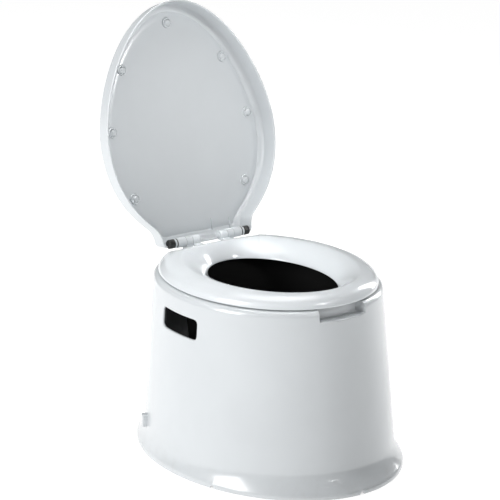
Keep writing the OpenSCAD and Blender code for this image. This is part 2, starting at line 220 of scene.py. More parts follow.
class Finish:
    # a material with one shader; constant values sit on the shader's own sockets
    def __init__(self, name, **constants):
        self.material = bpy.data.materials.new(name)
        self.material.use_nodes = True
        self.tree = self.material.node_tree
        self.shader = self.tree.nodes["Principled BSDF"]
        for label, value in constants.items():
            words = {"coat": "Coat Weight", "coatRoughness": "Coat Roughness", "metallic": "Metallic",
                     "roughness": "Roughness", "specular": "Specular IOR Level"}
            self.shader.inputs[words[label]].default_value = value
        self.place = self.add("TexCoord", {}, {}, output="Object")

    def add(self, kind, settings, inputs, output=0):
        # one node of a type, with its settings first and then the values or links of its sockets
        node = self.tree.nodes.new("ShaderNode" + kind)
        for label, value in settings.items():
            setattr(node, label, value)
        for label, value in inputs.items():
            if isinstance(value, Value):
                value = value.socket
            if isinstance(value, bpy.types.NodeSocket):
                self.tree.links.new(value, node.inputs[label])
            else:
                node.inputs[label].default_value = value
        return Value(self, node.outputs[output])

    def noise(self, scale, detail=3, roughness=0.5, stretch=(1, 1, 1)):
        spot = self.add("Mapping", {}, {"Vector": self.place, "Scale": stretch})
        inputs = {"Vector": spot, "Scale": scale, "Detail": detail, "Roughness": roughness}
        return self.add("TexNoise", {}, inputs)

    def spots(self, scale, randomness=1.0):
        return self.add("TexVoronoi", {}, {"Vector": self.place, "Scale": scale, "Randomness": randomness})

    def height(self):
        # the height above the floor, in metres
        return self.add("SeparateXYZ", {}, {"Vector": self.place}, output="Z")

    def ramp(self, value, low, high):
        # 0 below low and 1 above high, with a smooth step between
        return self.add("MapRange", {"interpolation_type": "SMOOTHSTEP"},
                        {"Value": value, "From Min": low, "From Max": high})

    def mix(self, share, first, second):
        return self.add("Mix", {"data_type": "RGBA"}, {0: share, 6: first, 7: second}, output=2)

    def bump(self, value, strength, distance, below=None):
        inputs = {"Height": value, "Strength": strength, "Distance": distance}
        if below is not None:
            inputs["Normal"] = below
        return self.add("Bump", {}, inputs)

    def set(self, label, value):
        self.tree.links.new(value.socket, self.shader.inputs[label])


def gray(level, blue=0.0):
    return (level - blue, level, level + blue, 1)


def coolWhite(level):
    # a white whose red is a little weaker and whose blue is a little stronger than its green
    return (level * 0.955, level, level * 1.03, 1)


def mouldedWhite(name, level, roughness, coat, grain, dirt=0.03):
    # white plastic: faint clouding, orange peel, a little grime low down, and scuffs that dull the gloss
    f = Finish(name, coat=coat, coatRoughness=0.06, specular=0.5)
    cloud = f.noise(7, 4, 0.6)
    scuff = f.ramp(f.noise(38, 6, 0.7, (1, 1, 0.35)), 0.56, 0.72)
    fine = f.noise(420, 2, 0.5)
    clean = f.mix(f.ramp(cloud, 0.3, 0.7), coolWhite(level), coolWhite(level * 0.965))
    low = 1 - f.ramp(f.height(), 0.0, 0.05)
    grime = low * f.ramp(f.noise(55, 5, 0.65), 0.42, 0.75) * dirt * 6
    f.set("Base Color", f.mix(grime, clean.socket, (level * 0.70, level * 0.68, level * 0.64, 1)))
    f.set("Roughness", scuff * 0.035 + f.ramp(cloud, 0.25, 0.75) * 0.04 + roughness)
    peel = f.bump(f.noise(95, 3, 0.5), 0.05 * grain, 0.0006)
    f.set("Normal", f.bump(fine, 0.10 * grain, 0.0002, peel))
    return f.material


def mouldedBlack(name, level, roughness, grain, scale=650, specular=0.5):
    # black plastic: spark-eroded grain, paler dusty clouds and rubbed spots
    f = Finish(name, coat=0.0, specular=specular)
    cloud = f.ramp(f.noise(16, 5, 0.6), 0.4, 0.75)
    rub = f.ramp(f.noise(70, 6, 0.75), 0.6, 0.8)
    f.set("Base Color", f.mix(cloud * 0.5 + rub * 0.3, gray(level), gray(level * 1.9 + 0.001, 0.0003)))
    f.set("Roughness", roughness + cloud * 0.10 - rub * 0.06)
    spots = f.spots(scale)
    swell = f.bump(f.noise(scale * 0.4, 4, 0.6), 0.2 * grain, 0.0003)
    f.set("Normal", f.bump(spots, 0.25 * grain, 0.0003, swell))
    return f.material


def brightMetal(name, level, roughness, stretch):
    # zinc-plated steel: drawing lines along the wire, cloudy plating and small dull spots
    f = Finish(name, metallic=1.0)
    lines = f.noise(900, 4, 0.6, stretch)
    cloud = f.ramp(f.noise(60, 5, 0.65), 0.35, 0.7)
    f.set("Base Color", f.mix(cloud, gray(level, 0.01), (level * 0.82, level * 0.82, level * 0.80, 1)))
    f.set("Roughness", roughness + cloud * 0.14 + lines * 0.08)
    f.set("Normal", f.bump(lines, 0.15, 0.0002))
    return f.material


finishes = {
    "shell": mouldedWhite("shellWhite", 0.64, 0.20, 0.35, 1.0),
    "seat": mouldedWhite("seatWhite", 0.74, 0.16, 0.45, 0.8),
    "lid": mouldedWhite("lidWhite", 0.64, 0.30, 0.20, 1.4),
    "hinge": mouldedWhite("hingeWhite", 0.68, 0.24, 0.30, 1.0),
    # this black also serves as painted shade: the pin caps stand in for the shaded pocket at each end of the
    # hinge
    "cap": mouldedBlack("capBlack", 0.012, 0.32, 0.6),
    "bucket": mouldedBlack("bucketBlack", 0.002, 0.6, 0.5, specular=0.12),
    "grip": mouldedBlack("gripBlack", 0.014, 0.5, 1.0),
    "buffer": mouldedBlack("bufferRubber", 0.02, 0.75, 1.2, 900),
    "wire": brightMetal("zincWire", 0.62, 0.26, (1, 1, 1)),
    "screw": brightMetal("screwSteel", 0.66, 0.22, (1, 8, 1)),
}
print("finishes made:", len(finishes))


# ---- the shell

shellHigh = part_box("outer_shell")[1]
shell = {
    "halfWidth": shellHigh.x,
    "halfLength": shellHigh.y,
    "deck": shellHigh.z,
    "sideTaper": 24 * mm,      # how far each side leans in
    "endTaper": 47 * mm,       # how far each end leans in
    "setback": 3 * mm,         # how far the top sits back
    "wall": 3.5 * mm,
    "shoulder": 11 * mm,       # radius of the shoulder
    "sideFlare": 8 * mm,       # how far the rim stands out at the sides
    "endFlare": 22 * mm,       # how far the rim stands out at the ends
    "rimHeight": 39 * mm,
    "rimEdge": 6 * mm,
    "notches": 6,
    "notchRadius": 4.2 * mm,
    "recessHalf": 42 * mm,     # half width of the finger recess
    "recessFloor": 17 * mm,    # depth of its floor below the deck
    "recessDepth": 18 * mm,
    "holeHalfLength": 46.5 * mm,
    "holeHalfHeight": 16 * mm,
    "holeDrop": 48 * mm,       # depth of a hand hole's centre below the deck
    "holeCorner": 7 * mm,
    "holeLip": 1.6 * mm,       # rounding of the hole's outer edge
    "holeInnerLip": 0.8 * mm,
    "blockHalfHeight": 24 * mm,    # half height of the block that each hole takes out of the grid
    "blockMargin": 12 * mm,
    "blockRows": 14,
    "deckInset": 20 * mm,      # how far the shoulder's section reaches over the deck
    "deckRound": 0.9 * mm,
    "deckClearance": 12 * mm,  # between the bucket's rim and the deck's hole
    "footRound": 1.2 * mm,
}
bucketLow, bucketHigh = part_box("bucket")
bucketMiddle = (bucketLow.y + bucketHigh.y) / 2
deckHole = bucketHigh.y - bucketMiddle + shell["deckClearance"]


def rimFlare(z):
    # 1 at the straight edge, then a quarter sine down to 0 at the top of the rim
    share = np.clip((z - shell["rimEdge"]) / (shell["rimHeight"] - shell["rimEdge"]), 0, 1)
    return 1 - np.sin(share * math.pi / 2)


def wallSizes(z):
    # half width and half length of the oval at a height: a straight taper, flared at the rim
    climb = np.clip((z - shell["rimHeight"]) / (shell["deck"] - shell["rimHeight"]), 0, 1)
    sizes = []
    ovals = (("halfWidth", "sideTaper", "sideFlare"), ("halfLength", "endTaper", "endFlare"))
    for full, taper, flare in ovals:
        waist = shell[full] - shell[flare]
        sizes.append(waist - (shell[taper] - shell[flare]) * climb + shell[flare] * rimFlare(z))
    return sizes


def wallPoint(t, z, depth):
    # a point on the tapered oval wall at angle t and height z, moved inwards along the oval's normal
    a, b = wallSizes(z)
    nx, ny = np.cos(t) / a, np.sin(t) / b
    size = np.hypot(nx, ny)
    x = a * np.cos(t) - depth * nx / size
    y = shell["setback"] * z / shell["deck"] + b * np.sin(t) - depth * ny / size
    return np.stack(np.broadcast_arrays(x, y, z), axis=-1)


def topSections(offset, turns, inRecess, lowZ, shares):
    # the stretch from the wall over the shoulder to the deck, and the stepped one inside the recess,
    # blended by how far each section is inside the recess
    deck = shell["deck"] - offset
    radius = shell["shoulder"] - offset
    inset = shell["deckInset"]
    bend = quarterTurn(12)
    arc = np.stack([offset + radius * (1 - np.cos(bend)), deck - radius + radius * np.sin(bend)], axis=1)
    plain = alongPath([(offset, lowZ), *arc, (inset, deck)], shares)
    floor = shell["deck"] - shell["recessFloor"] - offset
    back = shell["recessDepth"] + offset
    corners = [(offset, lowZ), (offset, floor), (back, floor), (back, deck), (inset + offset, deck)]
    stepped = roundedPath(corners, [1.6 * mm, 3 * mm, 1.2 * mm])
    stepped = alongPath(stepped, shares)
    share = inRecess[None, :, None]
    return plain[:, None] * (1 - share) + stepped[:, None] * share


def topRow(turns, row):
    # one row of the top's sections carried round the oval; past the shoulder the wall leans no further
    level = wallPoint(turns, np.minimum(row[:, 1], shell["deck"] - shell["shoulder"]), row[:, 0])
    level[:, 2] = row[:, 1]
    return level


def shellColumns():
    # even angles, with extra ones at the recess's sides and at the air notches
    even = np.linspace(0, fullTurn, 240, endpoint=False)
    a = shell["halfWidth"] - shell["sideTaper"]
    sides = np.r_[-1, 1][:, None] * (shell["recessHalf"] + np.linspace(-4, 4, 17) * mm)
    recess = 1.5 * math.pi + np.arcsin(np.clip(sides / a, -1, 1)).ravel()
    polar = fullTurn * np.arange(shell["notches"]) / shell["notches"] - math.pi / 2
    middle = np.arctan2(np.sin(polar) / shell["halfLength"], np.cos(polar) / shell["halfWidth"])
    swing = np.sin(np.linspace(-math.pi / 2, math.pi / 2, 19))
    spread = 1.3 * shell["notchRadius"] * swing / shell["halfWidth"]
    notches = (middle[:, None] + spread).ravel() % fullTurn
    return np.unique(np.round(np.concatenate([even, recess % fullTurn, notches]), 5))


def notchRise(points):
    # how far the rim's lower edge rises in the half-round air notches
    angles = fullTurn * np.arange(shell["notches"]) / shell["notches"] - math.pi / 2
    x, y = points[..., 0, None], points[..., 1, None]
    across = np.abs(x * np.sin(angles) - y * np.cos(angles))
    ahead = x * np.cos(angles) + y * np.sin(angles) > 0
    r = shell["notchRadius"]
    rise = np.where(ahead & (across < r), np.sqrt(np.maximum(r * r - across ** 2, 0)), 0)
    return rise.max(axis=-1)


def roundedRing(block, halfLength, halfHeight, corner):
    # block-edge points drawn onto a rectangle with round corners
    spot = block * [halfLength, halfHeight]
    limit = np.array([halfLength - corner, halfHeight - corner])
    core = np.clip(spot, -limit, limit)
    away = spot - core
    return core + corner * away / np.linalg.norm(away, axis=1)[:, None]


def handHole(points, outerRow, innerRow, rows, columns, turns, count, heights):
    # a hole with rolled lips: rings from the cut-out block of the outer grid to that of the inner one
    n = len(turns)
    bottom = [(rows[0], c) for c in range(columns[0], columns[1])]
    right = [(r, columns[1]) for r in range(rows[0], rows[1])]
    top = [(rows[1], c) for c in range(columns[1], columns[0], -1)]
    left = [(r, columns[0]) for r in range(rows[1], rows[0], -1)]
    loop = np.array(bottom + right + top + left)
    outerIds = outerRow(loop[:, 0]) * n + loop[:, 1] % n
    innerIds = innerRow(loop[:, 0]) * n + loop[:, 1] % n
    level = heights[loop[:, 0]]
    middle = shell["deck"] - shell["holeDrop"]
    angle = np.unwrap(turns[loop[:, 1] % n])
    side = np.cos(angle.mean())
    length = shell["halfLength"] - shell["endTaper"]
    y = shell["setback"] * middle / shell["deck"] + length * np.sin(angle)
    block = np.stack([(one - one.min()) / np.ptp(one) * 2 - 1 for one in (y, level)], axis=1)

    def holeRing(grow):
        sizes = [shell[key] + grow for key in ("holeHalfLength", "holeHalfHeight", "holeCorner")]
        return roundedRing(block, *sizes) + [0, middle]

    lip, innerLip, wall = shell["holeLip"], shell["holeInnerLip"], shell["wall"]
    outer = np.stack([y, level], axis=1)
    rings = [(outer * share + holeRing(lip) * (1 - share), 0) for share in (0.75, 0.5, 0.25)]
    bend = quarterTurn(6)
    for phi in bend:
        rings.append((holeRing(lip * (1 - np.sin(phi))), lip * (1 - np.cos(phi))))
    for phi in bend[::-1]:
        rings.append((holeRing(innerLip * (1 - np.sin(phi))), wall - innerLip * (1 - np.cos(phi))))
    loops = [outerIds]
    for spot, depth in rings:
        back = spot[:, 0] - shell["setback"] * spot[:, 1] / shell["deck"]
        t = np.arcsin(np.clip(back / wallSizes(spot[:, 1])[1], -1, 1))
        t = t if side > 0 else math.pi - t
        points.append(wallPoint(t, spot[:, 1], depth))
        loops.append(np.arange(count, count + len(spot)))
        count += len(spot)
    loops.append(innerIds)
    quads = []
    for one, two in zip(loops, loops[1:]):
        quads.append(np.stack([one, np.roll(one, -1), np.roll(two, -1), two], axis=1))
    return np.concatenate(quads), count


def makeShell():
    # one closed section per angle, carried round the oval, with both hand holes cut through the wall
    turns = shellColumns()
    n = len(turns)
    join = shell["deck"] - shell["blockHalfHeight"]
    hole = shell["deck"] - shell["holeDrop"]
    blockLow = hole - shell["blockHalfHeight"]
    heights = np.concatenate([
        np.linspace(shell["footRound"], shell["rimEdge"], 4),
        np.linspace(shell["rimEdge"], shell["rimHeight"], 14)[1:],
        np.linspace(shell["rimHeight"], blockLow, 10)[1:],
        np.linspace(blockLow, join, shell["blockRows"])[1:]])
    count = len(heights)
    blockRows = (count - shell["blockRows"], count - 2)
    x = (wallPoint(turns, np.array(shell["deck"]), 0))[:, 0]
    front = np.sin(turns) < 0
    inRecess = smoothStep((shell["recessHalf"] + 0.9 * mm - np.abs(x)) / (1.8 * mm)) * front
    shares = np.linspace(0, 1, 52)
    outerTop = topSections(0, turns, inRecess, join, shares)[1:]
    innerTop = topSections(shell["wall"], turns, inRecess, join, shares)[1:]
    sections = [wallPoint(turns, np.full(n, z), 0) for z in heights]
    sections += [topRow(turns, row) for row in outerTop]
    polar = np.arctan2(sections[-1][:, 1] - bucketMiddle, sections[-1][:, 0])
    edge = np.stack([deckHole * np.cos(polar), bucketMiddle + deckHole * np.sin(polar)], axis=1)
    inwards = np.stack([np.cos(polar), np.sin(polar)], axis=1)
    outerDeck, thick = sections[-1][:, :2], shell["wall"]
    deckRound = shell["deckRound"]
    for share in np.linspace(0, 1, 5)[1:]:
        spot = outerDeck * (1 - share) + (edge + inwards * deckRound) * share
        sections.append(np.c_[spot, np.full(n, shell["deck"])])
    for phi in quarterTurn(5)[1:]:
        spot = edge + inwards * deckRound * (1 - np.sin(phi))
        sections.append(np.c_[spot, np.full(n, shell["deck"] - deckRound * (1 - np.cos(phi)))])
    for phi in quarterTurn(5):
        spot = edge + inwards * deckRound * (1 - np.cos(phi))
        sections.append(np.c_[spot, np.full(n, shell["deck"] - thick + deckRound * (1 - np.sin(phi)))])
    sections += [topRow(turns, row) for row in innerTop[::-1]]
    innerStart = len(sections)
    sections += [wallPoint(turns, np.full(n, z), thick) for z in heights[::-1]]
    foot = ((thick - 0.4 * mm, 0.3 * mm), (thick - 1.0 * mm, 0),
            (shell["footRound"], 0), (0.4 * mm, 0.3 * mm))
    sections += [wallPoint(turns, np.full(n, z), depth) for depth, z in foot]
    grid = np.array(sections)
    rise = notchRise(wallPoint(turns, np.zeros(n), 0))
    reach = 2.2 * shell["notchRadius"]
    grid[..., 2] += rise * np.clip(1 - grid[..., 2] / reach, 0, 1)
    rows = len(grid)
    quads = gridQuads(rows, n, wrapRows=True, wrapColumns=True)
    # the blocks that the hand holes take out of the outer and the inner wall
    halfBlock = shell["holeHalfLength"] + shell["blockMargin"]
    length = shell["halfLength"] - shell["endTaper"]
    reachAngle = math.asin(halfBlock / length)
    keep = np.ones(len(quads), bool)
    r, c = quads[:, 0] // n, quads[:, 0] % n
    points, extra, total = [grid.reshape(-1, 3)], [], rows * n
    for middleTurn in (0.0, math.pi):
        away = (turns - middleTurn + math.pi) % fullTurn - math.pi
        inside = np.where(np.abs(away) < reachAngle)[0]
        order = inside[np.argsort(away[inside])]
        low, high = order[0], order[-1]
        high = high + n if high < low else high
        column = (c - low) % n
        inColumns = column < high - low
        inOuter = (r >= blockRows[0]) & (r < blockRows[1])
        mirrorRow = innerStart + (count - 1) - r
        inInner = (mirrorRow > blockRows[0]) & (mirrorRow <= blockRows[1]) & (r >= innerStart)
        keep &= ~(inColumns & (inOuter | inInner))
        holeQuads, total = handHole(points, lambda k: k, lambda k: innerStart + (count - 1) - k, blockRows,
                                    (low, high), turns, total, heights)
        extra.append(holeQuads)
    quads = np.concatenate([quads[keep]] + extra)
    return np.concatenate(points), quads


shellPoints, shellQuads = makeShell()


lug = {
    "halfWidth": 8 * mm,
    "halfHeight": 10.5 * mm,
    "middle": 44.5 * mm,       # height of its centre
    "reach": 8 * mm,
    "root": 2 * mm,            # how far it reaches into the wall
    "edge": 2.2 * mm,
    "angle": 28,
}


def outwardLug(side):
    # a rounded block on the wall near the rear: a superellipse outline whose edge rolls into its face
    turn = np.linspace(0, fullTurn, 64, endpoint=False)
    u = np.sign(np.cos(turn)) * np.abs(np.cos(turn)) ** 0.5
    v = np.sign(np.sin(turn)) * np.abs(np.sin(turn)) ** np.where(np.sin(turn) > 0, 0.35, 0.8)
    t0 = math.radians(lug["angle"] if side > 0 else 180 - lug["angle"])
    base = wallPoint(np.array(t0), np.array(lug["middle"]), 0)
    out = base - wallPoint(np.array(t0), np.array(lug["middle"]), 1.0)
    along = np.cross([0, 0, 1], out)
    edge, reach = lug["edge"], lug["reach"]
    rings = [(0.0, -lug["root"]), (1.0, -lug["root"]), (1.0, reach - edge)]
    for phi in quarterTurn(7)[1:]:
        rings.append((1 - edge / lug["halfWidth"] * (1 - math.cos(phi)), reach - edge * (1 - math.sin(phi))))
    rings += [(share, reach) for share in (0.5, 0.0)]
    points = [base + out * d + along * (u * s * lug["halfWidth"])[:, None]
              + np.array([0, 0, 1]) * (v * s * lug["halfHeight"])[:, None] for s, d in rings]
    return np.concatenate(points), gridQuads(len(rings), 64, wrapColumns=True)


makePiece("shellBody", [(shellPoints, shellQuads)], finishes["shell"],
          "shell", ["outer_shell"], 60)
makePiece("rearLugs", [outwardLug(1), outwardLug(-1)], finishes["shell"], "shell")
print("shell made:", len(shellQuads), "faces")


# ---- the seat

hinge = Vector(jointOf("lid_hinge")["pos_m"])
hingeCentre = (0, hinge.y, hinge.z)
seat = {
    "gap": 1.5 * mm,           # between the deck and the seat
    "rise": 20 * mm,
    "lip": 6.5 * mm,           # how far the opening's edge hangs below the seat's lower edge
    "wall": 4 * mm,
    "middle": 2.5 * mm,        # where the oval's centre lies
    "halfWidth": 160.5 * mm,
    "halfLength": 198 * mm,
    "openingWidth": 87 * mm,   # half width
    "openingLength": 129 * mm,
    "rearGap": 11 * mm,        # from the hinge axis forward to the straight rear
    "crownAt": 0.54,           # the crown's place between the opening and the edge
    "outerPower": 2.0,
    "innerPower": 1.35,
    "foot": 1.6 * mm,          # radius of the lower outer edge
    "lipRound": 0.8 * mm,      # radius of the hanging lip's edge
    "hornStart": 89.1 * mm,
    "hornWidth": 12 * mm,
    "hornLength": 17 * mm,
}
seatBase = shell["deck"] + seat["gap"]
openingY = bucketMiddle


def seatOutline(t):
    # an oval cut straight at the rear, between two horns that pass the hinge
    x, y = seat["halfWidth"] * np.cos(t), seat["middle"] + seat["halfLength"] * np.sin(t)
    horn = smoothStep((np.abs(x) - seat["hornStart"]) / seat["hornWidth"])
    limit = hinge.y - seat["rearGap"] + seat["hornLength"] * horn
    return np.stack([x, softMin(y, limit, 3 * mm)], axis=-1)


def openingOutline(t):
    return np.stack([seat["openingWidth"] * np.cos(t), openingY + seat["openingLength"] * np.sin(t)], axis=-1)


def seatSection(wall, rise, steps=22):
    # (share from the opening to the edge, height): a superellipse from the edge up to the crown, and
    # another that slopes down from the crown to the hanging lip
    phi = quarterTurn(steps)
    power, bottom = 2 / seat["outerPower"], -seat["lip"] + seat["lipRound"]
    edge = seat["crownAt"] + (1 - wall - seat["crownAt"]) * np.cos(phi) ** power
    up = rise * np.sin(phi) ** power
    phi, power = phi[::-1][1:], 2 / seat["innerPower"]
    slope = seat["crownAt"] - (seat["crownAt"] - wall) * np.cos(phi) ** power
    down = (rise - bottom) * np.sin(phi) ** power + bottom
    return np.r_[edge, slope], np.r_[up, down]


def makeSeat():
    # the section carried round from the opening's edge to the outer edge, with both lower edges rolled
    near = np.linspace(0.5, 0.78, 28)
    even = np.linspace(0, fullTurn, 280, endpoint=False)
    t = np.unique(np.r_[even, math.pi / 2 + near, math.pi / 2 - near])
    outer = seatOutline(t)
    inner = openingOutline(t)
    width = np.linalg.norm(outer - inner, axis=1)
    thick = seat["wall"] / width.mean()
    share, height = seatSection(0.0, seat["rise"])
    foot, turn = seat["foot"], quarterTurn(6)
    rolled = [(1 - (foot - foot * math.cos(p)) / width.mean(), foot - foot * math.sin(p)) for p in turn[::-1]]
    body = [(u, z) for u, z in zip(share, height) if z > foot or u < 0.5]
    lip, lipRound = thick / 2, seat["lipRound"]
    low = [(lip - lip * math.sin(p), -seat["lip"] + lipRound * (1 - math.cos(p))) for p in turn[::-1][1:]]
    low += [(lip + lip * math.sin(p), -seat["lip"] + lipRound * (1 - math.cos(p))) for p in turn[1:-1]]
    under, underHeight = seatSection(thick, seat["rise"] - seat["wall"])
    loop = np.array(rolled + body + low + list(zip(under[::-1], underHeight[::-1])))
    grid = inner[None] + loop[:, :1, None] * (outer - inner)[None]
    z = np.broadcast_to(seatBase + loop[:, 1:], grid.shape[:2])
    return np.dstack([grid, z]).reshape(-1, 3), gridQuads(len(loop), len(t), wrapRows=True, wrapColumns=True)


knuckle = {
    "radius": 8 * mm,
    "pin": 4.05 * mm,
    "seat": (20 * mm, 33.7 * mm),       # from the middle outwards
    "eye": (34 * mm, 46 * mm),
    "lid": (46.3 * mm, 62 * mm),
    "edge": 0.8 * mm,
    "seatArm": ((-20 * mm, -7.9 * mm), (-4.5 * mm, -3.6 * mm)),    # (y, z) of its box from the axis
    "lidArm": ((-3 * mm, 5 * mm), (4.4 * mm, 30 * mm)),
}


def knuckleRing(start, end, side, centre):
    # one knuckle's tube on the hinge axis
    profile = knuckleProfile(start, end, knuckle["radius"], knuckle["pin"], knuckle["edge"])
    return revolve(profile, centre, (side, 0, 0), 64)


def armBox(start, end, side, arm, centre, radius=1 * mm):
    # a rounded box as wide as a knuckle; arm is its two (y, z) corners from the centre
    x = sorted((side * start, side * end))
    low, high = ((across, centre[1] + y, centre[2] + z) for across, (y, z) in zip(x, arm))
    return roundedBox(low, high, radius)


def knuckleProfile(start, end, radius, bore, edge):
    # a tube's section with rounded outer edges, closed through its bore
    phi = quarterTurn(5)
    left = [(start + edge * (1 - math.sin(p)), radius - edge * (1 - math.cos(p))) for p in phi[::-1]]
    right = [(end - edge * (1 - math.sin(p)), radius - edge * (1 - math.cos(p))) for p in phi]
    return [(start, bore), *left, *right, (end, bore), (start, bore)]


def roundedBox(low, high, radius, steps=4):
    # a cube's surface pushed out from an inner box by a radius, on a grid round its girth
    low, high = np.asarray(low, float), np.asarray(high, float)
    radius = min(radius, 0.49 * (high - low).min())
    tilt = np.linspace(-math.pi / 2, math.pi / 2, 4 * steps + 2)
    turn = np.linspace(0, fullTurn, 16 * steps, endpoint=False) + math.pi / (16 * steps)
    tilt, turn = np.meshgrid(tilt, turn, indexing="ij")
    way = np.stack([np.cos(tilt) * np.cos(turn), np.cos(tilt) * np.sin(turn), np.sin(tilt)], axis=-1)
    core = np.where(way > 0, high - radius, low + radius)
    flat = (core + radius * way).reshape(tilt.shape + (3,))
    ends = [np.broadcast_to((low + high) / 2, (1, tilt.shape[1], 3)).copy() for _ in range(2)]
    ends[0][..., 2], ends[1][..., 2] = low[2], high[2]
    grid = np.concatenate([ends[0], flat, ends[1]])
    return grid.reshape(-1, 3), gridQuads(len(grid), tilt.shape[1], wrapColumns=True)


def seatKnuckles():
    parts = []
    for side in (-1, 1):
        parts.append(knuckleRing(*knuckle["seat"], side, hingeCentre))
        parts.append(armBox(*knuckle["seat"], side, knuckle["seatArm"], hingeCentre))
    return parts


makePiece("seatRing", [makeSeat()], finishes["seat"], "seat", ["seat_ring"], 60)
makePiece("seatKnuckles", seatKnuckles(), finishes["seat"], "seat")
print("seat made")


# ---- the lid, drawn closed and then turned open about the hinge axis

lid = {
    "length": 390 * mm,
    "halfWidth": 160 * mm,
    "halfNeck": 85.6 * mm,
    "widest": 172 * mm,        # distance of the widest place from the hinge
    "rearHalf": 170 * mm,      # length of the round rear half
    "rearPower": 2.15,
    "frontPower": 1.66,
    "frontRoot": 0.53,
    "neckBlend": 18 * mm,
    "depth": 36 * mm,
    "wall": 3.2 * mm,
    "lean": 14.5,
    "neckRear": 6 * mm,
    "edge": 11 * mm,
    "draft": 2 * mm,
    "rimLip": 1.2 * mm,
    "corner": 12 * mm,         # radius of the neck's corners
    "reliefs": ((17.2 * mm, 46.9 * mm), (61.4 * mm, 79.2 * mm)),
    "reliefHeight": 10 * mm,
    "reliefReach": 9 * mm,
    "groove": ((2 * mm, 0), (3 * mm, 0.9 * mm), (4.4 * mm, 0.9 * mm), (5.4 * mm, 0)),
    "bossRadius": 9 * mm,
    "bossHeight": 5 * mm,
    "bosses": ((0, 0.91), (0.76, 0.74), (0.82, 0.49), (0.77, 0.205)),  # shares of half width and length
    "ribs": ((30 * mm, 18 * mm), (65 * mm, 15 * mm)),    # (x, distance from the hinge) of short moulded ribs
    "ribHalfWidth": 0.8 * mm,
    "ribHalfLength": 10 * mm,
}


def lidHalf(s, inset=0.0):
    # half the width at a distance from the hinge: a superellipse behind the widest place, joined to the
    # neck by a smooth maximum, and (1 - u^p)^q before it
    back = np.clip((lid["widest"] - s) / lid["rearHalf"], 0, 1)
    egg = lid["halfWidth"] * (1 - back ** lid["rearPower"]) ** (1 / lid["rearPower"])
    rear = (egg + lid["halfNeck"] + np.hypot(egg - lid["halfNeck"], lid["neckBlend"])) / 2
    ahead = np.clip((s - lid["widest"]) / (lid["length"] - lid["widest"]), 0, 1)
    return (rear - inset) * (1 - ahead ** lid["frontPower"]) ** lid["frontRoot"]


def lidRing(inset):
    # the outline drawn in by an inset: straight rear, round corner, side and front, then the same mirrored
    rear = lid["neckRear"] - inset
    bend = max(lid["corner"] - inset, 3 * mm)
    length = lid["length"] - inset
    start = rear - bend
    x0, x1 = lid["halfNeck"] - inset - bend, lidHalf(max(-start, 0.0) * lid["length"] / length, inset)
    straight = np.linspace(0, 1, 76)[:-1] * x0
    t = np.linspace(0, 1, 15)[:-1]
    cornerX = (1 - t) ** 2 * x0 + 2 * t * (1 - t) * x1 + t * t * x1
    y = start - (length + start) * np.sin(quarterTurn(150))
    x = np.concatenate([straight, cornerX, lidHalf(np.maximum(-y, 0) * lid["length"] / length, inset)])
    y = np.concatenate([np.full(75, rear), rear - t * t * bend, y])
    return np.stack([np.r_[x, -x[-2:0:-1]], np.r_[y, y[-2:0:-1]]], axis=1)


def openLid(points):
    # closed coordinates about the hinge axis, turned back past upright
    angle = math.radians(-90 - lid["lean"])
    y, z = points[..., 1], points[..., 2]
    return np.stack([points[..., 0], hinge.y + y * math.cos(angle) - z * math.sin(angle),
                     hinge.z + y * math.sin(angle) + z * math.cos(angle)], axis=-1)


def reliefLift(spot):
    # the rear wall's lower edge is raised over the fixed hinge pieces, between smooth steps
    x = np.abs(spot[:, 0])
    lift = np.zeros(len(spot))
    for start, end in lid["reliefs"]:
        lift += smoothStep((x - start) / mm) * smoothStep((end - x) / mm)
    return lift * (spot[:, 1] > -lid["reliefReach"]) * lid["reliefHeight"]


def lidSheet(wall, lip, edge):
    # one face of the dish from the rim over the rounded edge to the middle of the plate
    top, draft = lid["depth"] - wall, lid["draft"]
    side = 1 if wall == 0 else -1
    rows = []
    for phi in quarterTurn(5):
        rows.append((wall + side * lip * (1 - math.sin(phi)), lip * (1 - math.cos(phi)), 1))
    start = lid["depth"] - lid["edge"]
    for share in np.linspace(0, 1, 9)[1:]:
        rows.append((wall + draft * share, lip + (start - lip) * share, 1 - share))
    for phi in quarterTurn(12)[1:]:
        rows.append((wall + draft + edge * (1 - math.cos(phi)), start + edge * math.sin(phi), 0))
    grid = []
    for inset, z, hold in rows:
        spot = lidRing(inset)
        grid.append(np.c_[spot, z + reliefLift(spot) * hold])
    last = rows[-1][0]
    if wall:
        # a shallow groove runs round the inside of the plate
        for inset, sink in lid["groove"]:
            spot = lidRing(last + inset)
            grid.append(np.c_[spot, np.full(len(spot), top + sink)])
    rim = grid[-1][:, :2]
    centre = np.array([0, -0.5 * lid["length"]])
    for rho in np.linspace(1, 0, 16)[1:]:
        grid.append(np.c_[centre + (rim - centre) * rho, np.full(len(rim), top)])
    return grid


def makeLid():
    outside = lidSheet(0, lid["rimLip"], lid["edge"])
    inside = lidSheet(lid["wall"], lid["rimLip"], lid["edge"] - lid["wall"])
    grid = np.array(inside[::-1] + outside)
    n = grid.shape[1]
    quads = gridQuads(len(grid), n, wrapColumns=True)
    return openLid(grid.reshape(-1, 3)), closePoles(quads, len(grid), n)


def lidBosses():
    # a shallow dome in a raised ring, at each place on the inner face
    r, h = lid["bossRadius"], lid["bossHeight"]
    low = lid["depth"] - lid["wall"] + 0.2 * mm
    profile = [(low, r), (low - h * 0.55, r - 0.6 * mm)]
    for p in np.linspace(0, math.pi, 7):
        profile.append((low - h * 0.62 - 0.35 * mm * math.sin(p), r - 1.6 * mm + 0.9 * mm * math.cos(p)))
    profile.append((low - h * 0.5, r - 3.0 * mm))
    for p in quarterTurn(9):
        profile.append((low - h * (0.5 + 0.5 * math.sin(p)), (r - 3.2 * mm) * math.cos(p)))
    parts = []
    for share, t in lid["bosses"]:
        for side in ((1,) if share == 0 else (-1, 1)):
            spot = (side * share * lidHalf(t * lid["length"]), -t * lid["length"], 0)
            points, quads = revolve(profile, spot, (0, 0, 1), 48)
            parts.append((openLid(points), quads))
    return parts


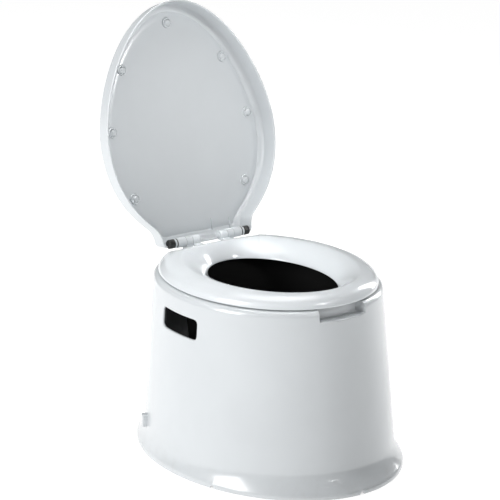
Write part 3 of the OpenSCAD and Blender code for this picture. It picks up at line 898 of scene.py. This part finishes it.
def lidHinges():
    # the lid's two knuckles with their arms, and the short ribs low on the inner face
    parts = []
    for side in (-1, 1):
        parts.append(knuckleRing(*knuckle["lid"], side, (0, 0, 0)))
        parts.append(armBox(*knuckle["lid"], side, knuckle["lidArm"], (0, 0, 0)))
    inner, across, along = lid["depth"] - lid["wall"], lid["ribHalfWidth"], lid["ribHalfLength"]
    for x, t in lid["ribs"]:
        parts.append(roundedBox((x - across, -t - along, inner - 2.5 * mm),
                                (x + across, -t + along, inner + 0.5 * mm), 0.7 * mm))
    return [(openLid(points), quads) for points, quads in parts]


makePiece("lidDish", [makeLid()], finishes["lid"], "lid", ["lid_shell"], 60)
makePiece("lidBosses", lidBosses(), finishes["lid"], "lid")
makePiece("lidKnuckles", lidHinges(), finishes["lid"], "lid")
print("lid made")


# ---- the hinge's pins, washers, caps, brackets and screws

pins = {
    "radius": 4 * mm,
    "start": 18 * mm,
    "washer": (62.2 * mm, 63.7 * mm),
    "head": (63.9 * mm, 67 * mm),
    "cap": (67.2 * mm, 78.2 * mm),
    "headRadius": 7.5 * mm,
    "stub": 6 * mm,            # how far the pin reaches into its cap
    "capBore": 7.5 * mm,       # depth of the cap's bore
    "capEdge": 2.0 * mm,
}
bracketSizes = {
    "inner": 26 * mm,          # the foot plate's ends, from the middle
    "outer": 62 * mm,
    "plate": (-9 * mm, 16.5 * mm),    # its front and rear, from the hinge axis
    "thick": 3.5 * mm,
    "edge": 1.2 * mm,
    "stemHalf": 7 * mm,
    "screwBack": 11.5 * mm,
    "screws": (34 * mm, 54.3 * mm),
}


def solidProfile(start, end, radius, edge):
    # a rod's section with rounded ends
    phi = quarterTurn(6)
    left = [(start + edge * (1 - math.cos(p)), radius - edge + edge * math.sin(p)) for p in phi]
    right = [(end - edge * (1 - math.cos(p)), radius - edge + edge * math.sin(p)) for p in phi[::-1]]
    return [(start, 0), *left, *right, (end, 0)]


def hingeSide(side, word):
    # a pin with its head, a washer, and a cap whose bore takes the pin's end; the black cap is partly a real
    # pin cap and partly a dark piece standing in for the shade of the pocket at the hinge's end
    axis = (side, 0, 0)
    body = "pin_" + word
    collar = solidProfile(*pins["head"], pins["headRadius"], 0.7 * mm)
    shaft = solidProfile(pins["start"], pins["cap"][0] + pins["stub"], pins["radius"], 0.6 * mm)
    rod = [revolve(shaft, hingeCentre, axis, 48), revolve(collar, hingeCentre, axis, 64)]
    makePiece("hingePin_" + word, rod, finishes["hinge"], body, ["hinge_pin_" + word])
    ringSection = knuckleProfile(*pins["washer"], pins["headRadius"], knuckle["pin"], 0.3 * mm)
    makePiece("hingeWasher_" + word, [revolve(ringSection, hingeCentre, axis, 64)],
              finishes["cap"], body, ["hinge_washer_" + word])
    start, end = pins["cap"]
    phi = quarterTurn(8)
    edge, r, depth = pins["capEdge"], pins["headRadius"], start + pins["capBore"]
    outside = [(start, r - 0.3 * mm), (start + 0.3 * mm, r), (end - edge, r)]
    outside += [(end - edge + edge * math.sin(p), r - edge + edge * math.cos(p)) for p in phi[1:]]
    bore = [(depth, 0), (depth, knuckle["pin"]), (start, knuckle["pin"])]
    # painted shade: the black cap also fills the place of the shaded pocket at the hinge's end
    makePiece("hingeCap_" + word, [revolve(bore + outside + [(end, 0)], hingeCentre, axis, 64)],
              finishes["cap"], body, ["hinge_cap_" + word])


def bracket(side):
    # a foot plate, a stem and an eye, each with rounded edges
    deck, size = shell["deck"] - hinge.z, bracketSizes
    front, rear = size["plate"]
    plate = ((front, deck), (rear, deck + size["thick"]))
    stem = ((-size["stemHalf"], deck + 2 * mm), (size["stemHalf"], -4.5 * mm))
    return [knuckleRing(*knuckle["eye"], side, hingeCentre),
            armBox(size["inner"], size["outer"], side, plate, hingeCentre, size["edge"]),
            armBox(*knuckle["eye"], side, stem, hingeCentre, size["edge"])]


head = {
    "radius": 3.6 * mm,
    "dome": 1.6 * mm,
    "bar": 0.45 * mm,          # half width of the cross's bars
    "reach": 2.0 * mm,
    "sink": 0.9 * mm,
    "root": 0.2 * mm,          # how far it reaches into the plate
}


def bars(along, across, size):
    # 1 inside a bar that is long one way and narrow the other, with soft sides
    inside = smoothStep((size["bar"] - np.abs(across)) / (0.3 * mm) + 0.5)
    return inside * smoothStep((size["reach"] - np.abs(along)) / (0.4 * mm))


def screwHead(x, y, z):
    # a low dome with a cross pressed into it: the height falls inside two crossed bars
    radius = np.r_[np.linspace(0, 1, 26) * head["radius"], head["radius"]]
    turn = np.linspace(0, fullTurn, 96, endpoint=False)
    r, t = np.meshgrid(radius, turn, indexing="ij")
    px, py = r * np.cos(t), r * np.sin(t)
    dome = head["dome"] * (1 - 0.75 * (r / head["radius"]) ** 2.5)
    pz = dome - head["sink"] * np.maximum(bars(py, px, head), bars(px, py, head))
    pz[-1] = -head["root"]
    grid = np.stack([x + px, y + py, z + pz], axis=-1)
    base = np.broadcast_to([x, y, z - head["root"]], (1, len(turn), 3))
    grid = np.concatenate([grid, base])
    return grid.reshape(-1, 3), gridQuads(len(grid), len(turn), wrapColumns=True)


for side, word in ((-1, "left"), (1, "right")):
    hingeSide(side, word)
    makePiece("hingeBracket_" + word, bracket(side), finishes["hinge"],
              "shell", ["hinge_bracket_" + word])
screwY, screwZ = hinge.y + bracketSizes["screwBack"], shell["deck"] + bracketSizes["thick"]
screws = [screwHead(side * x, screwY, screwZ) for side in (-1, 1) for x in bracketSizes["screws"]]
makePiece("bracketScrews", screws, finishes["screw"], "shell", ["bracket_screws"])
print("hinges made")


# ---- the buffers under the seat

# heights run from the seat's lower edge
buffer = {
    "angles": (-125, -55, 20, 160),
    "foot": (-1.7 * mm, 1.0 * mm),
    "footRadius": 6 * mm,
    "stem": (0.5 * mm, 7.75 * mm),
    "stemRadius": 2.5 * mm,
}


def bufferPiece():
    # a round foot and a stem at each angle, half way between the opening and the outer edge
    foot = solidProfile(*buffer["foot"], buffer["footRadius"], 0.8 * mm)
    stem = solidProfile(*buffer["stem"], buffer["stemRadius"], 0.5 * mm)
    parts = []
    for degrees in buffer["angles"]:
        t = math.radians(degrees)
        outer = seatOutline(np.array(t))
        spot = (outer + openingOutline(t)) / 2
        parts.append(revolve(foot, (*spot, seatBase), (0, 0, 1), 48))
        parts.append(revolve(stem, (*spot, seatBase), (0, 0, 1), 32))
    return parts


makePiece("seatBuffers", bufferPiece(), finishes["buffer"], "seat", ["seat_buffers"])


# ---- the bucket, its bail and the grip

bucket = {
    "mouth": 138 * mm,
    "bottom": 112 * mm,
    "wall": 2.5 * mm,
    "rim": 142 * mm,
    "rimDrop": 7 * mm,
    "height": bucketHigh.z,
    "earRadius": 8 * mm,
    "earRoot": 137.6 * mm,
    "earReach": 143.5 * mm,
    "earBore": 2.35 * mm,
    "pivot": jointOf("bail_swing")["pos_m"],
    "wire": 2.5 * mm,
    "bail": 150 * mm,
    "grip": 6.5 * mm,
    "gripAngle": 38,
    "ribs": 17,
    "ribDepth": 1.1 * mm,
    "bend": 2.6 * mm,          # the bail's bend beside each ear
}


def makeBucket():
    # a tapered wall with a groove in its base and a rolled rim above, closed through its floor
    h, wall, bottom = bucket["height"], bucket["wall"], bucket["bottom"]
    topOuter, under = bucket["mouth"] + wall, h - bucket["rimDrop"]
    outer = roundedPath([(0, 0), (0, bottom - 12 * mm), (3 * mm, bottom - 10 * mm), (0, bottom - 8 * mm),
                         (0, bottom), (under, topOuter), (under, bucket["rim"]),
                         (h, bucket["rim"]), (h, bucket["mouth"]), (wall, bottom - wall), (wall, 0)],
                        [1 * mm, 1 * mm, 1 * mm, 3 * mm, 1 * mm, 1 * mm, 1.6 * mm, 1.2 * mm, 5 * mm], 6)
    outer[0, 1] = outer[-1, 1] = 0
    return revolve(outer, (0, bucketMiddle, 0), (0, 0, 1), 160)


def bucketEars():
    # a round boss on each side, with a bore for the bail's end
    parts = []
    for side in (-1, 1):
        section = knuckleProfile(bucket["earRoot"], bucket["earReach"], bucket["earRadius"],
                                 bucket["earBore"], 1.0 * mm)
        parts.append(revolve(section, (0, bucketMiddle, bucket["pivot"][2]), (side, 0, 0), 48))
    return parts


def bailPath():
    # a half circle round the front, whose ends turn inwards on a small radius into the ears
    turn = np.linspace(-math.pi, 0, 120)
    arc = np.stack([bucket["bail"] * np.cos(turn), bucket["bail"] * np.sin(turn)], axis=1)
    inner = bucket["earReach"] - 4 * mm
    corners = roundedPath([(-inner, 0), (-bucket["bail"], 0), arc[3]], [bucket["bend"]])
    ends = roundedPath([arc[-4], (bucket["bail"], 0), (inner, 0)], [bucket["bend"]])
    flat = np.concatenate([corners[:-1], arc[3:-3], ends[1:]])
    return np.c_[flat[:, 0], flat[:, 1] + bucketMiddle, np.full(len(flat), bucket["pivot"][2])]


def gripPath():
    # the grip follows the bail; its radius swells in shallow ribs and closes at both ends
    half = math.radians(bucket["gripAngle"] / 2)
    steps = 200
    turn = -math.pi / 2 + np.linspace(-half, half, steps)
    path = np.stack([bucket["bail"] * np.cos(turn), bucketMiddle + bucket["bail"] * np.sin(turn),
                     np.full(steps, bucket["pivot"][2])], axis=1)
    share = np.linspace(0, 1, steps)
    wave = 0.5 + 0.5 * np.cos(fullTurn * bucket["ribs"] * share)
    ends = np.minimum(smoothStep(share / 0.03), smoothStep((1 - share) / 0.03))
    radius = (bucket["grip"] - bucket["ribDepth"] * wave ** 3) * (0.55 + 0.45 * ends)
    return path, radius


def flange(side):
    # a collar at each end of the grip
    half = math.radians(bucket["gripAngle"] / 2 - 0.6)
    turn = -math.pi / 2 + side * half
    x, y = bucket["bail"] * math.cos(turn), bucketMiddle + bucket["bail"] * math.sin(turn)
    collar = solidProfile(-1.4 * mm, 1.4 * mm, bucket["grip"], 1 * mm)
    return revolve(collar, (x, y, bucket["pivot"][2]), (-math.sin(turn), math.cos(turn), 0), 48)


makePiece("bucketBody", [makeBucket(), *bucketEars()], finishes["bucket"],
          "bucket", ["bucket"])
makePiece("bailWire", [sweep(bailPath(), bucket["wire"], 20)], finishes["wire"],
          "bail", ["bail_handle"])
makePiece("bailGrip", [sweep(*gripPath(), 40), flange(-1), flange(1)], finishes["grip"],
          "bail", ["bail_grip"])
print("bucket and bail made")


# ---- floor, light and camera

studio = {
    "floor": 8.0,
    "azimuth": -34.54,         # where the camera stands, in degrees
    "elevation": 16.55,
    "distance": 3.6168,
    "aimAcross": -0.02892,     # how far its aim is moved sideways
    "aimHeight": 0.32774,
    "lens": 165.73,
    "paper": 0.30,
    "glow": 0.93,              # how brightly the paper shines by itself, as painted light
    "shadeHalfWidth": 0.19,    # the oval of painted shade under the shell, where it doesn't
    "shadeHalfLength": 0.25,
    "sky": 0.10,
}
lights = {
    "keyLight": {"place": (-3.0, 0.15, 1.6), "aim": (0, 0, 0.25), "size": (1.2, 1.8), "power": 80},
    "topLight": {"place": (0.1, 0.3, 2.8), "aim": (0, 0, 0.3), "size": (1.8, 1.8), "power": 36},
    "sideLight": {"place": (2.4, 0.55, 1.1), "aim": (0.1, 0, 0.25), "size": (0.5, 1.6), "power": 30},
    "lidLight": {"place": (0.4, -2.3, 2.0), "aim": (0, 0.24, 0.53), "size": (0.5, 0.5), "power": 0.95,
                 "spread": 24},
}


def glowingFloor():
    # white paper that shines by itself as painted light outside an oval under the shell; the unlit oval is
    # painted shade, so that the shell's inside is dark
    mesh = bpy.data.meshes.new("studioFloor")
    s = studio["floor"]
    mesh.from_pydata([(-s, -s, 0), (s, -s, 0), (s, s, 0), (-s, s, 0)], [], [(0, 1, 2, 3)])
    floor = bpy.data.objects.new("studioFloor", mesh)
    scene.collection.objects.link(floor)
    f = Finish("floorPaper", roughness=0.9, specular=0.1)
    f.set("Base Color", f.mix(f.noise(3, 3, 0.5), gray(studio["paper"]), gray(studio["paper"] + 0.01)))
    across = f.add("SeparateXYZ", {}, {"Vector": f.place}, output="X") / studio["shadeHalfWidth"]
    along = f.add("SeparateXYZ", {}, {"Vector": f.place}, output="Y") / studio["shadeHalfLength"]
    # painted light and painted shade: the floor's emission lights the object from below, and it falls to
    # nothing in the oval under the shell, which darkens the shell's inside
    f.set("Emission Color", f.mix(f.ramp(across * across + along * along, 0.75, 1.1), gray(0.0), gray(1.0)))
    f.shader.inputs["Emission Strength"].default_value = studio["glow"]
    mesh.materials.append(f.material)


def softbox(name, place, aim, size, power, spread=180):
    light = bpy.data.lights.new(name, "AREA")
    light.shape, light.size, light.size_y = "RECTANGLE", size[0], size[1]
    light.energy, light.spread = power, math.radians(spread)
    lamp = bpy.data.objects.new(name, light)
    lamp.location = place
    lamp.rotation_euler = (Vector(aim) - Vector(place)).to_track_quat("-Z", "Y").to_euler()
    scene.collection.objects.link(lamp)


def paleSky():
    world = bpy.data.worlds.new("studioSky")
    world.use_nodes = True
    light = world.node_tree.nodes["Background"]
    light.inputs["Color"].default_value = (1, 1, 1, 1)
    light.inputs["Strength"].default_value = studio["sky"]
    scene.world = world


def addCamera():
    a, e = math.radians(studio["azimuth"]), math.radians(studio["elevation"])
    back = Vector((math.sin(a) * math.cos(e), -math.cos(a) * math.cos(e), math.sin(e)))
    across = Vector((math.cos(a), math.sin(a), 0))
    data = bpy.data.cameras.new("studioCamera")
    data.lens, data.sensor_width = studio["lens"], 36
    data.clip_end = 50
    camera = bpy.data.objects.new("studioCamera", data)
    aim = Vector((0, 0, studio["aimHeight"])) + across * studio["aimAcross"]
    camera.location = aim + back * studio["distance"]
    camera.rotation_mode = "QUATERNION"
    camera.rotation_quaternion = (-back).to_track_quat("-Z", "Y")
    scene.collection.objects.link(camera)
    bpy.context.scene.camera = camera


glowingFloor()
paleSky()
for name, light in lights.items():
    softbox(name, **light)
addCamera()
scene.view_settings.view_transform = "Standard"
print("studio made")
